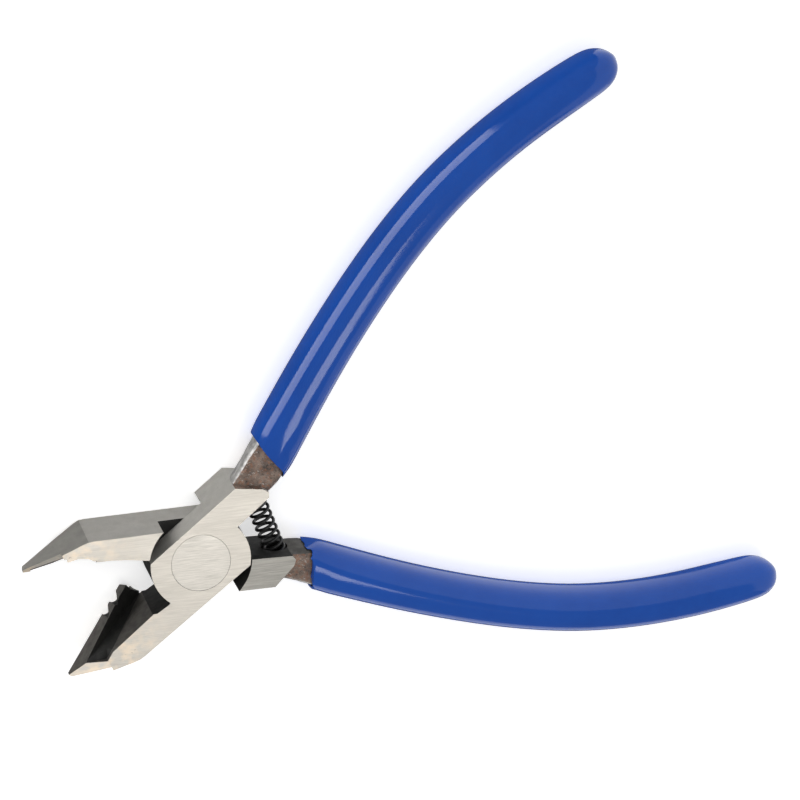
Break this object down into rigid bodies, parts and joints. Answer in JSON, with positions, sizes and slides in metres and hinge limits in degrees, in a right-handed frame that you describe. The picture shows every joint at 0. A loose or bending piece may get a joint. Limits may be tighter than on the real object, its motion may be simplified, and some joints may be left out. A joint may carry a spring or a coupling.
{
  "type": "hand nippers",
  "caption": "Small spring-loaded hand nippers: two forged steel levers on one flush rivet, jaws with a notched bite and a relief pocket, and dipped vinyl grips.",
  "frame": {"origin": "on the rivet's axis, at the back face that the tool lies on", "axes": "+X towards the handles and -X towards the jaws, +Y towards the front lever's handle, +Z out of the front face along the rivet's axis"},
  "size_m": [0.1347, 0.1182, 0.011],
  "materials": {
    "ground_steel": "ground front and back, scaled brown necks, blackened recesses",
    "rivet_steel": "ground flush with the head",
    "spring_steel": "black oxide, oiled",
    "blue_vinyl": "glossy dip coat"
  },
  "bodies": {
    "front_half": {"front_lever": "ground_steel", "pivot_rivet": "rivet_steel", "front_grip": "blue_vinyl", "return_spring": "spring_steel"},
    "rear_half": {"rear_lever": "ground_steel", "rear_grip": "blue_vinyl"}
  },
  "joints": [
    {"name": "pivot", "type": "hinge", "parent": "front_half", "child": "rear_half", "pos_m": [0, 0, 0.0055], "axis": [0, 0, 1], "range_deg": [-8, 41], "stiffness_Nm_per_rad": 0.6, "deforming": ["return_spring"]}
  ]
}
